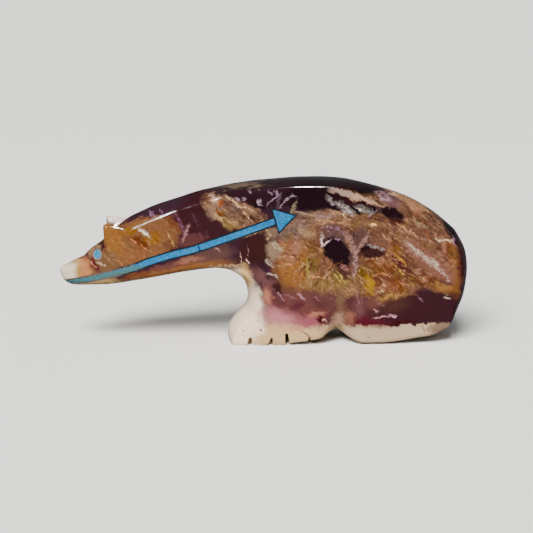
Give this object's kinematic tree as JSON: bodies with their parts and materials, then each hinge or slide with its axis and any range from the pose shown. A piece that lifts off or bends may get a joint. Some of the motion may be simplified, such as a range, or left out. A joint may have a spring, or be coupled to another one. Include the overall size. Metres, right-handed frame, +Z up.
{
  "type": "carved bear fetish",
  "caption": "Small standing bear carved in banded shell, with a long low head, humped back, block legs with toe cuts, turquoise eyes and an inlaid turquoise heartline arrow.",
  "frame": {"origin": "on the surface it stands on, under the middle of its length and thickness", "axes": "+Z up; the bear looks along -X, its left flank faces -Y; +X runs from nose to rump"},
  "size_m": [0.0761, 0.0148, 0.0301],
  "materials": {
    "shell": "polished",
    "turquoise": "satin"
  },
  "bodies": {
    "root": {"shell_bear": "shell", "left_eye": "turquoise", "right_eye": "turquoise", "left_heartline_front_slip": "turquoise", "left_heartline_rear_slip": "turquoise", "left_heartline_arrowhead": "turquoise", "right_heartline_slip": "turquoise", "right_heartline_arrowhead": "turquoise"}
  },
  "joints": []
}
